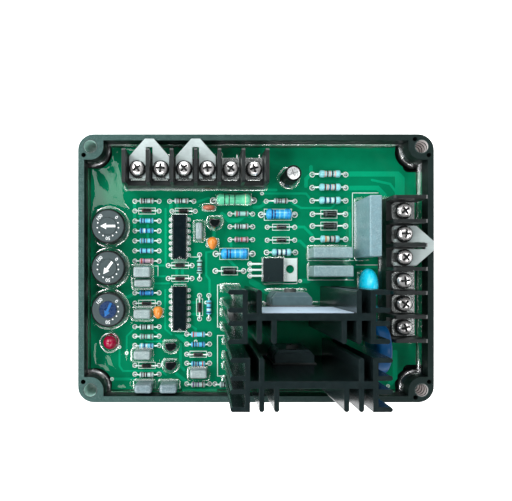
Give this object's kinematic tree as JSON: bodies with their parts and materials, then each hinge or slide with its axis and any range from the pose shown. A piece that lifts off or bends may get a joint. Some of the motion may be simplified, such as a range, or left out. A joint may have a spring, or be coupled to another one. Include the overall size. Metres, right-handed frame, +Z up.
{
  "type": "automatic voltage regulator",
  "caption": "Potted generator voltage regulator: black tray, green board under clear resin, barrier terminal strips, dial trimmers and tall finned heatsinks.",
  "frame": {"origin": "centre of the tray's underside", "axes": "+X along the tray's length towards the side terminal strip, +Y towards the rear terminal strip, +Z up from the underside to the heatsink tops"},
  "size_m": [0.146, 0.11, 0.067],
  "materials": {
    "case_plastic": "moulded, fine grain",
    "bush_steel": "turned, plated",
    "board": "green solder mask over laminate",
    "resin": "clear, glossy cast surface",
    "terminal_plastic": "moulded, satin",
    "plated_steel": "bright zinc or nickel plate",
    "washer_steel": "dark spring steel",
    "link_metal": "stamped, matt plate",
    "trimmer_plastic": "moulded",
    "dial_grey": "printed dial",
    "lamp_red": "tinted clear lens",
    "chip_plastic": "moulded epoxy",
    "tinned_lead": "tinned",
    "resistor_pale": "lacquer with colour bands",
    "resistor_cyan": "lacquer with colour bands",
    "resistor_green": "lacquer with colour bands",
    "resistor_blue": "lacquer with colour bands",
    "diode_glass": "glass body with a dark band",
    "diode_black": "moulded with a pale band",
    "box_grey": "moulded box",
    "film_grey": "moulded box",
    "drop_orange": "dipped",
    "drop_red": "dipped",
    "can_sleeve": "shrink sleeve on an aluminium can",
    "varistor_light": "dipped",
    "varistor_dark": "dipped",
    "tab_metal": "tinned copper",
    "heatsink_black": "black anodised extrusion",
    "device_plastic": "moulded epoxy",
    "pad_grey": "thin silicone sheet"
  },
  "bodies": {
    "regulator": {"case": "case_plastic", "mounting_bushes": "bush_steel", "circuit_board": "board", "potting_resin": "resin", "terminal_block_top": "terminal_plastic", "terminal_block_right": "terminal_plastic", "terminal_contacts_top": "plated_steel", "terminal_contacts_right": "plated_steel", "terminal_washers_top": "washer_steel", "terminal_washers_right": "washer_steel", "terminal_screws_top": "plated_steel", "terminal_screws_right": "plated_steel", "link_plate_left": "link_metal", "link_plate_middle": "link_metal", "link_plate_right": "link_metal", "trimmer_1_body": "trimmer_plastic", "trimmer_2_body": "trimmer_plastic", "trimmer_3_body": "trimmer_plastic", "trimmer_dials": "dial_grey", "indicator_lamp": "lamp_red", "chip_upper": "chip_plastic", "chip_lower": "chip_plastic", "chip_pins": "tinned_lead", "resistors_small": "resistor_pale", "resistors_medium": "resistor_cyan", "resistor_green": "resistor_green", "resistors_blue": "resistor_blue", "diodes_glass": "diode_glass", "diodes_black": "diode_black", "capacitors_box": "box_grey", "capacitors_edge": "box_grey", "capacitor_film_tall": "film_grey", "capacitors_film_long": "film_grey", "capacitors_orange": "drop_orange", "capacitor_red": "drop_red", "capacitor_can": "can_sleeve", "varistor_light": "varistor_light", "varistor_dark": "varistor_dark", "transistors_small": "chip_plastic", "tab_regulator_body": "chip_plastic", "tab_regulator_metal": "tab_metal", "heatsink_rear": "heatsink_black", "heatsink_front": "heatsink_black", "heatsink_pins": "tinned_lead", "power_device_rear": "device_plastic", "power_device_front": "device_plastic", "power_device_leads": "tinned_lead", "insulating_pads": "pad_grey", "device_screws": "plated_steel"},
    "trimmer_1_disc": {"trimmer_1_rotor": "dial_grey"},
    "trimmer_2_disc": {"trimmer_2_rotor": "dial_grey"},
    "trimmer_3_disc": {"trimmer_3_rotor": "dial_grey"}
  },
  "joints": [
    {"name": "trimmer_1_turn", "type": "hinge", "parent": "regulator", "child": "trimmer_1_disc", "pos_m": [-0.0611, 0.0175, 0.0206], "axis": [0, 0, 1], "range_deg": [-45, 225]},
    {"name": "trimmer_2_turn", "type": "hinge", "parent": "regulator", "child": "trimmer_2_disc", "pos_m": [-0.0611, 0.0002, 0.0206], "axis": [0, 0, 1], "range_deg": [-99, 171]},
    {"name": "trimmer_3_turn", "type": "hinge", "parent": "regulator", "child": "trimmer_3_disc", "pos_m": [-0.0611, -0.0172, 0.0206], "axis": [0, 0, 1], "range_deg": [-111, 159]}
  ]
}
